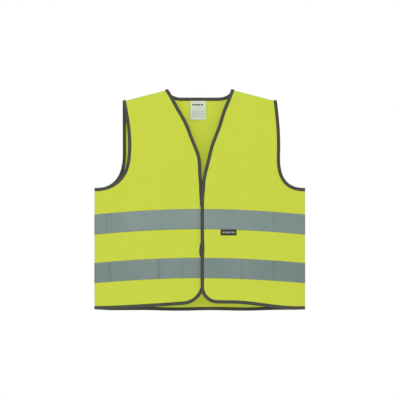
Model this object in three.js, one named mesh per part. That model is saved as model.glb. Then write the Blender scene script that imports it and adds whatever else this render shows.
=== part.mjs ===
// High visibility vest for a child, closed at the front, as it hangs from its shoulders.
// Millimetres, +Z up, the front faces -Y and the wearer's left is +X.
// The origin is midway between the two neck points, where the shoulder seams meet the neck.
//
// The cloth is a flattened tent: it is almost flat at the shoulders and opens towards the hem,
// and front and back come together at the side seams and the shoulder seams. Every piece is
// drawn on a flat plan first, as points (x, z), and is then laid on the front or the back.

import * as THREE from 'three';

// ---------------------------------------------------------------- driving dimensions

const BODY_LENGTH = 548; // neck point to hem, along z
const HALF_WIDTH = 263; // centre to side seam
const NECK_HALF = 79; // centre to neck point
const SHOULDER_HALF = 192; // centre to shoulder tip
const SHOULDER_FALL = 29; // neck point down to shoulder tip
const ARMHOLE_STRAIGHT = 128; // straight part of the armhole edge below the shoulder tip
const ARMHOLE_DEPTH = 248; // neck point down to underarm
const NECK_DEPTH_BACK = 20; // neck point down to the flat of the back neck
const NECK_CORNER = 33; // width of the rounded corner of the back neck
const V_DEPTH = 235; // neck point down to the bottom of the V
const BACK_DEPTH_TOP = 4; // hollow behind the middle plane at the shoulders
const BACK_DEPTH_HEM = 24; // hollow behind the middle plane at the hem
const FRONT_DEPTH_TOP = 4; // hollow in front of the middle plane at the shoulders
const FRONT_DEPTH_HEM = 34; // hollow in front of the middle plane at the hem
const SHOULDER_ROUND = 24; // height over which the cloth opens below the shoulder seam
const FRONT_ARCH = 14; // rise of the front's cross lines from the side seams to the centre
const LAY_SHIFT = 8; // the closed front lies this far towards the wearer's left
const OVERLAP = 10; // overlap of the fronts at the closure
const CORNER_LEFT = 48; // radius of the bottom corner of the left front, which lies on top
const CORNER_RIGHT = 55; // radius of the bottom corner of the right front
const FOLD_START = 15; // distance below the neck point where the fronts start to fold back
const FOLD_INSET = 12; // distance of the fold's top end from the front edge
const FOLD_HEM_HALF = 120; // centre to the fold line at the hem
const CLOTH = 0.6; // thickness of a panel
const GAP = 0.3; // clearance between two sewn pieces
const BINDING_WIDTH = 8; // visible width of the edge binding
const BINDING_WALL = 0.5; // thickness of one leg of the binding
const TAPE_WIDTH = 50; // reflective tape
const TAPE_THICKNESS = 0.5;
const UPPER_TAPE_DROP = 64; // underarm down to the upper tape at the side seam
const LOWER_TAPE_DROP = 185; // underarm down to the lower tape at the side seam
const STRIP_WIDTH = 9; // hook and loop strips
const STRIP_LENGTH = 48;
const STRIP_THICKNESS = 0.8;
const SEAM_ALLOWANCE = 8; // width of the sewn seam allowances inside
const SEAM_THICKNESS = 1.3;
const CARE_LABEL_WIDTH = 39.5;
const CARE_LABEL_LENGTH = 47.5;
const CARE_LABEL_CENTRE = -4; // x of its centre line
const WOVEN_LABEL_WIDTH = 39.5;
const WOVEN_LABEL_LENGTH = 14.5;
const WOVEN_LABEL_CENTRE = 71.5; // x of its centre line
const LABEL_THICKNESS = 0.4;
const BACK_COLUMN = 18.5; // widest column of facets beside the back neck
const FRONT_COLUMN = 15.5; // widest column of facets of a front's side part
const ARMHOLE_FACET = 20; // longest facet round the armhole's curve, along its chord

// ---------------------------------------------------------------- values that follow

const BINDING_OUTER = GAP + BINDING_WALL; // outer face of a binding above the cloth
const BINDING_INNER = CLOTH + GAP + BINDING_WALL; // inner face of a binding below the cloth
const BINDING_REACH = BINDING_WIDTH - BINDING_OUTER; // end of the legs from the cloth edge
const SEAM_HALF = BINDING_INNER + GAP / 2; // cloth face to the middle plane at the seams
const CLOSURE_LIFT = BINDING_OUTER + GAP + STRIP_THICKNESS + GAP
  + STRIP_THICKNESS + GAP + BINDING_INNER; // the left front lies this far above the right one
const SHOULDER_SLOPE = SHOULDER_FALL / (SHOULDER_HALF - NECK_HALF);
const SHOULDER_DROPS = [0, 0.25, 0.5, 0.75, 1].map((part) => part * SHOULDER_ROUND);
const RIDGE_RISE = 1; // how far a binding stands up where it crosses a shoulder seam

const FRONTS = {
  left: {
    hand: 1, edge: LAY_SHIFT - OVERLAP / 2, bend: 1.2, lift: CLOSURE_LIFT, corner: CORNER_LEFT,
  },
  right: {
    hand: -1, edge: -(LAY_SHIFT + OVERLAP / 2), bend: 1.58, lift: 0, corner: CORNER_RIGHT,
  },
};

const FABRIC = { color: 0xcddb48, roughness: 0.85, metalness: 0 };
const TAPE = { color: 0x83948f, roughness: 0.45, metalness: 0.1 };
const BINDING = { color: 0x505048, roughness: 0.9, metalness: 0 };
const FASTENER = { color: 0xc2cd4a, roughness: 0.95, metalness: 0 };
const CARE_LABEL = { color: 0xe1e8d7, roughness: 0.6, metalness: 0 };
const WOVEN_LABEL = { color: 0x1e2623, roughness: 0.8, metalness: 0 };

const vest = new THREE.Group();

// ---------------------------------------------------------------- the cloth's shape

const mix = (from, to, part) => from + (to - from) * part;
const clamp01 = (value) => Math.min(Math.max(value, 0), 1);
const smooth = (value) => clamp01(value) ** 2 * (3 - 2 * clamp01(value));

/** Height of the shoulder seam at the distance across from the centre. */
function shoulderLine(across) {
  const out = Math.min(Math.max(across, NECK_HALF), SHOULDER_HALF) - NECK_HALF;
  return -SHOULDER_SLOPE * out;
}

/** Distance of the cloth's outer face from the middle plane; across is hand times x. */
function clothDepth(side, across, z, front) {
  const top = side < 0 ? FRONT_DEPTH_TOP : BACK_DEPTH_TOP;
  const hem = side < 0 ? FRONT_DEPTH_HEM : BACK_DEPTH_HEM;
  const hollow = mix(top, hem, -z / BODY_LENGTH);
  const taper = 1 - (Math.abs(across) / HALF_WIDTH) ** 4;
  const below = shoulderLine(Math.abs(across)) - z;
  const round = 1 - (1 - clamp01(below / SHOULDER_ROUND)) ** 2;
  return SEAM_HALF + hollow * taper * round + (front ? closureLift(front, across, z) : 0);
}

/** The left front rises over the right one from its fold line to its free edge. */
function closureLift(front, across, z) {
  const fold = foldLine(front, z);
  return front.lift * smooth((fold - across) / (fold - front.edge));
}

/** Point of the cloth at a height above its outer face, as [x, y, z]. */
function onCloth(side, hand, across, z, height, front) {
  const step = 0.01;
  const depth = clothDepth(side, across, z, front);
  const slopeX = (clothDepth(side, across + step, z, front)
    - clothDepth(side, across - step, z, front)) / (2 * step);
  const slopeZ = (clothDepth(side, across, z + step, front)
    - clothDepth(side, across, z - step, front)) / (2 * step);
  const normal = new THREE.Vector3(-slopeX, 1, -slopeZ).normalize();
  return [
    hand * (across + normal.x * height),
    side * (depth + normal.y * height),
    z + normal.z * height,
  ];
}

// ---------------------------------------------------------------- the edges on the flat plan

/** Front edge of a front at the depth below its neck point: the V, then straight down. */
function frontEdge(front, z) {
  return mix(front.edge, NECK_HALF, (1 - clamp01(-z / V_DEPTH)) ** front.bend);
}

/** Top ends of the fold: a on the front edge and b square to it inside the cloth. */
function foldTop(front) {
  const a = [frontEdge(front, -FOLD_START), -FOLD_START];
  const run = frontEdge(front, -FOLD_START + 1) - frontEdge(front, -FOLD_START - 1);
  const length = Math.hypot(run, 2);
  const b = [a[0] + FOLD_INSET * 2 / length, a[1] - FOLD_INSET * run / length];
  return { a, b };
}

/** The straight fold line of a front at height z. */
function foldLine(front, z) {
  const top = foldTop(front).b;
  return mix(top[0], FOLD_HEM_HALF, (z - top[1]) / (-BODY_LENGTH - top[1]));
}

/** Rise of the front's cross lines. */
function frontArch(across) {
  return FRONT_ARCH * (1 - (across / HALF_WIDTH) ** 2);
}

/** Cloth edge of one armhole, from the shoulder tip to the underarm. */
function armholeEdge(side, hand) {
  const straightEnd = SHOULDER_FALL + ARMHOLE_STRAIGHT;
  const points = SHOULDER_DROPS.map((drop) => [SHOULDER_HALF, -SHOULDER_FALL - drop]);
  points.push([SHOULDER_HALF, -mix(SHOULDER_FALL + SHOULDER_ROUND, straightEnd, 0.5)]);
  const chord = Math.hypot(HALF_WIDTH - SHOULDER_HALF, ARMHOLE_DEPTH - straightEnd);
  const steps = Math.ceil(chord / ARMHOLE_FACET);
  for (let i = 0; i <= steps; i += 1) {
    const angle = (Math.PI / 2) * (i / steps);
    points.push([
      SHOULDER_HALF + (HALF_WIDTH - SHOULDER_HALF) * (1 - Math.cos(angle)),
      -mix(straightEnd, ARMHOLE_DEPTH, Math.sin(angle)),
    ]);
  }
  return points.map(([across, z]) => {
    const along = (-z - SHOULDER_FALL) / (ARMHOLE_DEPTH - SHOULDER_FALL);
    const shift = side < 0 ? hand * LAY_SHIFT * Math.sin(Math.PI * along) : 0;
    return [across + shift, z];
  });
}

/** Heights at the side seam of the cross lines below the underarm. */
function sideHeights() {
  const steps = 6;
  const heights = [];
  for (let i = 1; i <= steps; i += 1) {
    heights.push(-mix(ARMHOLE_DEPTH, BODY_LENGTH, i / steps));
  }
  return heights;
}

/** Height of the front hem. */
function frontHem(across) {
  return -BODY_LENGTH + frontArch(across);
}

/** Front edge from the fold's top end down the V, the centre, round the corner to the hem. */
function frontEdgePoints(front) {
  const points = [];
  const start = FOLD_START + GAP;
  const vSteps = 9;
  for (let i = 0; i <= vSteps; i += 1) {
    const z = -mix(start, V_DEPTH, i / vSteps);
    points.push([frontEdge(front, z), z]);
  }
  const hem = frontHem(front.edge + front.corner);
  const centreSteps = 5;
  for (let i = 1; i <= centreSteps; i += 1) {
    points.push([front.edge, mix(-V_DEPTH, hem + front.corner, i / centreSteps)]);
  }
  const cornerSteps = 6;
  for (let i = 1; i <= cornerSteps; i += 1) {
    const angle = (Math.PI / 2) * (i / cornerSteps);
    points.push([
      front.edge + front.corner * (1 - Math.cos(angle)),
      hem + front.corner * (1 - Math.sin(angle)),
    ]);
  }
  return points;
}

/** The back neck from the neck point to the centre line. */
function backNeckEdge(across) {
  const part = clamp01((across - (NECK_HALF - NECK_CORNER)) / NECK_CORNER);
  return -NECK_DEPTH_BACK * Math.sqrt(1 - part ** 2);
}

/** Distances from the centre of the points that draw the back neck, neck point first. */
function backNeckColumns() {
  const columns = [0, 20, 40, 60, 90].map((degrees) => {
    const angle = THREE.MathUtils.degToRad(degrees);
    return NECK_HALF - NECK_CORNER * (1 - Math.cos(angle));
  });
  return [...columns, 0];
}

// ---------------------------------------------------------------- closed solids

/** Adds a mesh; the winding is turned where the mapping mirrored it. */
function addSolid(name, look, geometry, place) {
  const position = geometry.getAttribute('position');
  const index = geometry.index ? Array.from(geometry.index.array) : null;
  const vertex = new THREE.Vector3();
  for (let i = 0; i < position.count; i += 1) {
    vertex.fromBufferAttribute(position, i);
    position.setXYZ(i, ...place(vertex.x, vertex.y, vertex.z));
  }
  const order = index ?? Array.from({ length: position.count }, (unused, i) => i);
  if (signedVolume(position, order) < 0) {
    for (let i = 0; i < order.length; i += 3) {
      [order[i + 1], order[i + 2]] = [order[i + 2], order[i + 1]];
    }
  }
  geometry.setIndex(order);
  geometry.deleteAttribute('uv');
  geometry.computeVertexNormals();
  const mesh = new THREE.Mesh(geometry, new THREE.MeshStandardMaterial(look));
  mesh.name = name;
  vest.add(mesh);
}

function signedVolume(position, order) {
  const [a, b, c] = [new THREE.Vector3(), new THREE.Vector3(), new THREE.Vector3()];
  let volume = 0;
  for (let i = 0; i < order.length; i += 3) {
    a.fromBufferAttribute(position, order[i]);
    b.fromBufferAttribute(position, order[i + 1]);
    c.fromBufferAttribute(position, order[i + 2]);
    volume += a.dot(b.cross(c)) / 6;
  }
  return volume;
}

/** A sheet between two heights: plan(i, j) gives side, hand, across, z and the front. */
function addSheet(name, look, columns, rows, low, high, plan) {
  const geometry = new THREE.BoxGeometry(1, 1, 1, columns, rows, 1);
  addSolid(name, look, geometry, (u, v, w) => {
    const spot = plan(Math.round((u + 0.5) * columns), Math.round((v + 0.5) * rows));
    return onCloth(spot.side, spot.hand, spot.across, spot.z, w < 0 ? low : high, spot.front);
  });
}

/** A folded binding along stations; each station places a point (inward, height). */
function addBinding(name, stations) {
  const profile = new THREE.Shape();
  profile.moveTo(BINDING_REACH, BINDING_OUTER);
  profile.lineTo(-BINDING_OUTER, BINDING_OUTER);
  profile.lineTo(-BINDING_OUTER, -BINDING_INNER);
  profile.lineTo(BINDING_REACH, -BINDING_INNER);
  profile.lineTo(BINDING_REACH, -BINDING_INNER + BINDING_WALL);
  profile.lineTo(-GAP, -BINDING_INNER + BINDING_WALL);
  profile.lineTo(-GAP, GAP);
  profile.lineTo(BINDING_REACH, GAP);
  const steps = stations.length - 1;
  const options = { steps, depth: steps, bevelEnabled: false };
  const geometry = new THREE.ExtrudeGeometry(profile, options);
  addSolid(name, BINDING, geometry, (inward, height, station) => (
    stations[Math.round(station)](inward, height)
  ));
}

/** Stations along a cloth edge on the plan; turn is +1 or -1, towards the cloth. */
function edgeStations(side, hand, points, turn, front) {
  return points.map((point, i) => {
    const before = points[Math.max(i - 1, 0)];
    const after = points[Math.min(i + 1, points.length - 1)];
    const run = [after[0] - before[0], after[1] - before[1]];
    const length = Math.hypot(run[0], run[1]);
    const inward = [(-turn * run[1]) / length, (turn * run[0]) / length];
    return planStation(side, hand, point, inward, front);
  });
}

function planStation(side, hand, point, inward, front) {
  return (distance, height) => onCloth(
    side,
    hand,
    point[0] + inward[0] * distance,
    point[1] + inward[1] * distance,
    height,
    front,
  );
}

/** Stations that carry a binding over a shoulder seam: front, crown and back. */
function seamCrossing(hand, across, turn) {
  const length = Math.hypot(1, SHOULDER_SLOPE);
  const inward = [turn / length, (-turn * SHOULDER_SLOPE) / length];
  const up = [SHOULDER_SLOPE / length, 1 / length];
  const point = [across, shoulderLine(across)];
  const crown = (distance, height) => {
    const rise = RIDGE_RISE + height;
    const x = point[0] + inward[0] * distance + up[0] * rise;
    return [hand * x, 0, point[1] + inward[1] * distance + up[1] * rise];
  };
  return {
    front: planStation(-1, hand, point, inward),
    crown,
    back: planStation(1, hand, point, inward),
  };
}

// ---------------------------------------------------------------- panels

/** The back panel: one sheet from armhole to armhole, from the neck to the hem. */
function addBackPanel() {
  const neck = backNeckColumns().reverse();
  const sideColumns = Math.ceil((HALF_WIDTH - NECK_HALF) / BACK_COLUMN);
  const half = neck.length - 1 + sideColumns;
  const edge = armholeEdge(1, 1);
  sideHeights().forEach((z) => edge.push([HALF_WIDTH, z]));
  const rows = edge.length - 1;
  const lastSlant = SHOULDER_DROPS.length + 1;
  addSheet('back_panel', FABRIC, 2 * half, rows, -CLOTH, 0, (i, j) => {
    const column = Math.abs(i - half);
    const hand = i < half ? -1 : 1;
    const [outer, edgeZ] = edge[j];
    const spread = mix(NECK_HALF, FOLD_HEM_HALF, (-edgeZ - SHOULDER_FALL) / BODY_LENGTH);
    const isNeck = column < neck.length;
    const outPart = (column - neck.length + 1) / sideColumns;
    const across = isNeck ? (neck[column] * spread) / NECK_HALF : mix(spread, outer, outPart);
    const topAcross = isNeck ? neck[column] : mix(NECK_HALF, SHOULDER_HALF, outPart);
    const top = isNeck ? backNeckEdge(topAcross) : shoulderLine(topAcross);
    const fade = 1 - clamp01((j - SHOULDER_DROPS.length + 1) / (lastSlant - SHOULDER_DROPS.length + 1));
    const across0 = j < SHOULDER_DROPS.length ? topAcross : across;
    return { side: 1, hand, across: across0, z: edgeZ + (top + SHOULDER_FALL) * fade };
  });
}

/** The part of a front between its fold line and the armhole and side seam. */
function addSidePanel(label, front) {
  const { hand } = front;
  const { a, b } = foldTop(front);
  const outer = armholeEdge(-1, hand);
  const inner = SHOULDER_DROPS.slice(0, 3).map((drop) => [frontEdge(front, -drop), -drop]);
  inner.push(a, b);
  const remaining = outer.length - inner.length;
  for (let i = 1; i <= remaining; i += 1) {
    const z = mix(b[1], -ARMHOLE_DEPTH, i / remaining);
    inner.push([foldLine(front, z) + GAP / 2, z]);
  }
  sideHeights().forEach((z) => {
    outer.push([HALF_WIDTH, z]);
    inner.push([foldLine(front, z) + GAP / 2, z]);
  });
  const columns = Math.ceil((HALF_WIDTH - NECK_HALF) / FRONT_COLUMN);
  const underarm = outer.length - 1 - sideHeights().length;
  addSheet(`${label}_front_side_panel`, FABRIC, columns, outer.length - 1, -CLOTH, 0, (i, j) => {
    const across = mix(inner[j][0], outer[j][0], i / columns);
    const straight = mix(inner[j][1], outer[j][1], i / columns);
    const z = straight + (j > underarm ? frontArch(across) : 0);
    return { side: -1, hand, across, z };
  });
}

/** The part of a front that folds back: from the front edge to the fold line. */
function addFlapPanel(label, front) {
  const edge = frontEdgePoints(front);
  const top = foldTop(front);
  const firstFold = top.b[1] - GAP;
  const columns = 6;
  addSheet(`${label}_front_panel`, FABRIC, columns, edge.length - 1, -CLOTH, 0, (i, j) => {
    const [startX, startZ] = edge[j];
    const drop = (startZ - edge[0][1]) / (edge.at(-1)[1] - edge[0][1]);
    const hemAtFold = frontHem(foldLine(front, -BODY_LENGTH));
    const endZ = mix(firstFold, hemAtFold, drop);
    const across = mix(startX, foldLine(front, endZ) - GAP / 2, i / columns);
    return { side: -1, hand: front.hand, across, z: mix(startZ, endZ, i / columns), front };
  });
}

// ---------------------------------------------------------------- bindings

/** Binding of the back neck, over both shoulder seams to where the fronts start to fold. */
function addNeckBinding() {
  const halves = [FRONTS.right, FRONTS.left].map((front) => {
    const { hand } = front;
    const edge = [];
    for (let i = 3; i >= 1; i -= 1) {
      const z = (-FOLD_START * i) / 3;
      edge.push([frontEdge(front, z), z]);
    }
    const crossing = seamCrossing(hand, NECK_HALF, 1);
    const neck = backNeckColumns().slice(1, -1).map((across) => [across, backNeckEdge(across)]);
    const seamPoint = [NECK_HALF, 0];
    const frontPart = edgeStations(-1, hand, [...edge, seamPoint], -1).slice(0, -1);
    const backPart = edgeStations(1, hand, [seamPoint, ...neck, [0, -NECK_DEPTH_BACK]], 1);
    const backOnly = backPart.slice(1, -1);
    return [...frontPart, crossing.front, crossing.crown, crossing.back, ...backOnly];
  });
  const [right, left] = halves;
  const centre = planStation(1, 1, [0, -NECK_DEPTH_BACK], [0, -1]);
  addBinding('neck_binding', [...right, centre, ...left.reverse()]);
}

/** Binding of one armhole: from the underarm up the front, over the shoulder, down the back. */
function addArmholeBinding(label, hand) {
  const crossing = seamCrossing(hand, SHOULDER_HALF, -1);
  const frontPart = edgeStations(-1, hand, armholeEdge(-1, hand), -1).slice(1).reverse();
  const backPart = edgeStations(1, hand, armholeEdge(1, hand), -1).slice(1);
  const stations = [...frontPart, crossing.front, crossing.crown, crossing.back, ...backPart];
  addBinding(`${label}_armhole_binding`, stations);
}

/** Binding of a front's free edge: the V, the centre, the corner and the hem to the fold. */
function addFrontBinding(label, front) {
  const points = frontEdgePoints(front);
  const corner = points.at(-1);
  const fold = foldLine(front, -BODY_LENGTH) - GAP / 2;
  const hemAtFold = frontHem(fold);
  const steps = 3;
  for (let i = 1; i <= steps; i += 1) {
    points.push([mix(corner[0], fold, i / steps), mix(corner[1], hemAtFold, i / steps)]);
  }
  addBinding(`${label}_front_binding`, edgeStations(-1, front.hand, points, 1, front));
}

/** Binding of a front's hem between the fold line and the side seam. */
function addSideHemBinding(label, front) {
  const points = [];
  const fold = foldLine(front, -BODY_LENGTH) + GAP / 2;
  const steps = 12;
  for (let i = 0; i <= steps; i += 1) {
    const across = mix(fold, HALF_WIDTH, i / steps);
    points.push([across, frontHem(across)]);
  }
  addBinding(`${label}_front_hem_binding`, edgeStations(-1, front.hand, points, 1));
}

function addBackHemBinding() {
  const points = [];
  const steps = 32;
  for (let i = 0; i <= steps; i += 1) {
    points.push([mix(-HALF_WIDTH, HALF_WIDTH, i / steps), -BODY_LENGTH]);
  }
  addBinding('back_hem_binding', edgeStations(1, 1, points, 1));
}

// ---------------------------------------------------------------- reflective tapes

const TAPE_LOW = GAP;
const TAPE_HIGH = GAP + TAPE_THICKNESS;

function addBackTape(name, drop) {
  const columns = 30;
  const top = -ARMHOLE_DEPTH - drop;
  addSheet(name, TAPE, columns, 1, TAPE_LOW, TAPE_HIGH, (i, j) => {
    const across = mix(-HALF_WIDTH, HALF_WIDTH, i / columns);
    return { side: 1, hand: 1, across, z: top - j * TAPE_WIDTH };
  });
}

/** The length of a front tape from the fold line to the side seam. */
function addSideTape(name, front, drop) {
  const columns = 12;
  const top = -ARMHOLE_DEPTH - drop;
  addSheet(name, TAPE, columns, 1, TAPE_LOW, TAPE_HIGH, (i, j) => {
    const z = top - j * TAPE_WIDTH;
    const across = mix(foldLine(front, z) + GAP / 2, HALF_WIDTH, i / columns);
    return { side: -1, hand: front.hand, across, z: z + frontArch(across) };
  });
}

/** The length of a front tape from the front binding to the fold line. */
function addFlapTape(name, front, drop) {
  const columns = 8;
  const top = -ARMHOLE_DEPTH - drop;
  addSheet(name, TAPE, columns, 1, TAPE_LOW, TAPE_HIGH, (i, j) => {
    const z = top - j * TAPE_WIDTH;
    const start = front.edge + BINDING_REACH + GAP;
    const across = mix(start, foldLine(front, z) - GAP / 2, i / columns);
    return { side: -1, hand: front.hand, across, z: z + frontArch(across), front };
  });
}

// ---------------------------------------------------------------- closure, labels and seams

/** A hook strip inside the left front's edge and the loop strip it meets on the right front. */
function addFastener(level, drop) {
  const { left, right } = FRONTS;
  const top = -ARMHOLE_DEPTH - drop + frontArch(0) - (TAPE_WIDTH - STRIP_LENGTH) / 2;
  const hookHigh = -BINDING_INNER - GAP;
  addSheet(`${level}_hook_strip`, FASTENER, 1, 1, hookHigh - STRIP_THICKNESS, hookHigh, (i, j) => {
    const across = left.edge + i * STRIP_WIDTH;
    return { side: -1, hand: left.hand, across, z: top - j * STRIP_LENGTH, front: left };
  });
  const loopLow = BINDING_OUTER + GAP;
  addSheet(`${level}_loop_strip`, FASTENER, 1, 1, loopLow, loopLow + STRIP_THICKNESS, (i, j) => {
    const across = right.edge + i * STRIP_WIDTH;
    return { side: -1, hand: right.hand, across, z: top - j * STRIP_LENGTH, front: right };
  });
}

/** The care label hangs plumb inside the back, from the lower edge of the neck binding. */
function addCareLabel() {
  const top = -NECK_DEPTH_BACK - BINDING_REACH - GAP;
  const back = onCloth(1, 1, CARE_LABEL_CENTRE, top, -CLOTH - GAP)[1];
  const geometry = new THREE.BoxGeometry(CARE_LABEL_WIDTH, LABEL_THICKNESS, CARE_LABEL_LENGTH);
  addSolid('care_label', CARE_LABEL, geometry, (x, y, z) => [
    x + CARE_LABEL_CENTRE,
    y + back - LABEL_THICKNESS / 2,
    z + top - CARE_LABEL_LENGTH / 2,
  ]);
}

/** The woven label hangs from the lower edge of the upper tape on the left front. */
function addWovenLabel() {
  const front = FRONTS.left;
  const top = -ARMHOLE_DEPTH - UPPER_TAPE_DROP - TAPE_WIDTH - GAP;
  addSheet('woven_label', WOVEN_LABEL, 2, 1, GAP, GAP + LABEL_THICKNESS, (i, j) => {
    const across = WOVEN_LABEL_CENTRE + (i / 2 - 0.5) * WOVEN_LABEL_WIDTH;
    const z = top + frontArch(across) - j * WOVEN_LABEL_LENGTH;
    return { side: -1, hand: front.hand, across, z, front };
  });
}

/** Sewn allowance of a shoulder seam, between the front and the back, from neck to tip. */
function addShoulderSeam(label, hand) {
  const inset = BINDING_REACH + GAP;
  const geometry = new THREE.BoxGeometry(1, 1, 1, 1, 1, 1);
  addSolid(`${label}_shoulder_seam`, FABRIC, geometry, (u, v, w) => {
    const across = mix(NECK_HALF + inset, SHOULDER_HALF - inset, u + 0.5);
    const z = shoulderLine(across) - GAP - (0.5 - w) * SEAM_ALLOWANCE;
    return [hand * across, v * SEAM_THICKNESS, z];
  });
}

/** Sewn allowance of a side seam, between the front and the back, from underarm to hem. */
function addSideSeam(label, hand) {
  const inset = BINDING_REACH + GAP;
  const geometry = new THREE.BoxGeometry(1, 1, 1, 1, 1, 1);
  addSolid(`${label}_side_seam`, FABRIC, geometry, (u, v, w) => {
    const z = -mix(ARMHOLE_DEPTH + inset, BODY_LENGTH - inset, 0.5 - w);
    return [hand * (HALF_WIDTH - GAP - (0.5 - u) * SEAM_ALLOWANCE), v * SEAM_THICKNESS, z];
  });
}

// ---------------------------------------------------------------- assembly

addBackPanel();
addNeckBinding();
addBackHemBinding();
addBackTape('back_upper_tape', UPPER_TAPE_DROP);
addBackTape('back_lower_tape', LOWER_TAPE_DROP);
addCareLabel();
Object.entries(FRONTS).forEach(([label, front]) => {
  addSidePanel(label, front);
  addFlapPanel(label, front);
  addArmholeBinding(label, front.hand);
  addFrontBinding(label, front);
  addSideHemBinding(label, front);
  addSideTape(`${label}_front_side_upper_tape`, front, UPPER_TAPE_DROP);
  addSideTape(`${label}_front_side_lower_tape`, front, LOWER_TAPE_DROP);
  addFlapTape(`${label}_front_upper_tape`, front, UPPER_TAPE_DROP);
  addFlapTape(`${label}_front_lower_tape`, front, LOWER_TAPE_DROP);
  addShoulderSeam(label, front.hand);
  addSideSeam(label, front.hand);
});
addFastener('upper', UPPER_TAPE_DROP);
addFastener('lower', LOWER_TAPE_DROP);
addWovenLabel();

export default vest;
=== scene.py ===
# A child's high visibility vest, closed at the front, as it hangs from its shoulders.
# Metres, +Z up, the front faces -Y and the wearer's left is +X.

import bpy
import numpy as np
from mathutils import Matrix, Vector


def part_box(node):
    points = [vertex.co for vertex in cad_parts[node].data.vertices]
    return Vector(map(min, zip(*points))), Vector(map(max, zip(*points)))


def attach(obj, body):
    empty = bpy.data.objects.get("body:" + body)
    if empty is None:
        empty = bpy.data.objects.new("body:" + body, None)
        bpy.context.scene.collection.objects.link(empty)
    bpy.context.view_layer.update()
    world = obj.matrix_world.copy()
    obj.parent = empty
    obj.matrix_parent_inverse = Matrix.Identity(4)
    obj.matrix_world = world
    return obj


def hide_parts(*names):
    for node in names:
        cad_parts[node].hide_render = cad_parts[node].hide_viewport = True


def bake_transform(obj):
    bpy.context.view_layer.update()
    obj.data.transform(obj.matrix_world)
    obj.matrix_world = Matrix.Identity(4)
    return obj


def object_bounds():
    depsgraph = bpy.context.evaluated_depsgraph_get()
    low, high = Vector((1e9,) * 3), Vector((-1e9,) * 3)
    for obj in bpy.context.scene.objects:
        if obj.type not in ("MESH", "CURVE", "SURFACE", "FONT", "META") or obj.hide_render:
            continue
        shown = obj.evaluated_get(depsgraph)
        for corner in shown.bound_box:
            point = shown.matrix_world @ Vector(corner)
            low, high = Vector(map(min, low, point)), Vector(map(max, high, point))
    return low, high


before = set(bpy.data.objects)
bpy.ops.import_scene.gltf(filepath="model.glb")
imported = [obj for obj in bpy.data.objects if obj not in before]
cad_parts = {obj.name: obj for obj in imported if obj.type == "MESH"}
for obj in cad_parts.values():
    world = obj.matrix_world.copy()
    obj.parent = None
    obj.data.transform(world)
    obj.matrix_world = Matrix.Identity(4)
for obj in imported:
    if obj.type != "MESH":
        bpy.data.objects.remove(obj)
cad_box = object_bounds()

# ---------------------------------------------------------------- camera, light and floor
# A long lens looks straight at the middle of the vest. A white surround and one large soft
# lamp light it evenly, and a pale floor lies well below the hem.

view_width = 0.99
camera_distance = 4.2
vest_middle = (cad_box[0][2] + cad_box[1][2]) / 2
camera_data = bpy.data.cameras.new("camera")
camera_data.sensor_width = 36
camera_data.lens = 36 * camera_distance / view_width
camera = bpy.data.objects.new("camera", camera_data)
camera.location = (0.0006, cad_box[0][1] - camera_distance, vest_middle - 0.002)
camera.rotation_euler = (np.pi / 2, 0, 0)
bpy.context.collection.objects.link(camera)
scene = bpy.context.scene
scene.camera = camera
scene.view_settings.view_transform = "Standard"

world = bpy.data.worlds.new("white surround")
world.use_nodes = True
world.node_tree.nodes["Background"].inputs["Color"].default_value = (1, 1, 1, 1)
world.node_tree.nodes["Background"].inputs["Strength"].default_value = 1.0
scene.world = world

lamp_data = bpy.data.lights.new("soft lamp", "AREA")
lamp_data.size = 1.2
lamp_data.energy = 19
lamp = bpy.data.objects.new("soft lamp", lamp_data)
lamp.location = (-0.5, -2.7, 0.5)
lamp.rotation_euler = (np.radians(75), 0, np.radians(-10))
bpy.context.collection.objects.link(lamp)

floor_drop = 0.42
floor_half = 1.1
floor_mesh = bpy.data.meshes.new("floor")
floor_z = cad_box[0][2] - floor_drop
floor_corners = ((-1, -1), (1, -1), (1, 1), (-1, 1))
floor_mesh.from_pydata(
    [(x * floor_half, y * floor_half, floor_z) for x, y in floor_corners], [], [(0, 1, 2, 3)]
)
floor = bpy.data.objects.new("floor", floor_mesh)
floor_paint = bpy.data.materials.new("pale floor")
floor_paint.use_nodes = True
floor_paint.node_tree.nodes["Principled BSDF"].inputs["Base Color"].default_value = (
    0.86, 0.86, 0.85, 1,
)
floor_paint.node_tree.nodes["Principled BSDF"].inputs["Roughness"].default_value = 0.8
floor_mesh.materials.append(floor_paint)
bpy.context.collection.objects.link(floor)

# ---------------------------------------------------------------- the cut and hang of the cloth
# The vest is cut from flat cloth and sewn at the shoulders and the sides. Hanging, it is a
# flattened tent: nearly flat at the shoulders, open at the hem, creased from its packaging.

back_low, back_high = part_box("back_panel")
half_width = back_high[0]
body_length = -back_low[2]
neck_half = 0.079
shoulder_half = 0.192
shoulder_fall = 0.029
armhole_straight = 0.128
armhole_depth = 0.248
neck_depth = 0.020
neck_corner = 0.033
v_depth = 0.235
depth_top = 0.004  # hollow of each side at the shoulders
depth_hem = {-1: 0.034, 1: 0.024}  # hollow of the front and of the back at the hem
shoulder_round = 0.024  # drop over which a shoulder rounds off
front_arch = 0.014  # rise of the front's level lines at the centre
lay_shift = {1: 0.008, -1: -0.014}  # by hand: a front's armhole edge, outside the back's
fold_hem_half = 0.120  # where the fold lines meet the hem
cloth_thickness = 0.0005
seam_half = 0.00155  # from the middle plane to the cloth's outer face, at the seams
tape_width = 0.050
tape_drops = {"upper": 0.064, "lower": 0.185}
fronts = {
    "left": dict(hand=1, edge=0.003, bend=1.2, lift=0.0047, corner=0.041),
    "right": dict(hand=-1, edge=-0.013, bend=1.58, lift=0.0, corner=0.055),
}


def mix(start, end, part):
    return start + (end - start) * part


def smooth(value):
    """Zero below 0, one above 1, and an S curve of the third degree between."""
    part = np.clip(value, 0, 1)
    return part * part * (3 - 2 * part)


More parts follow.
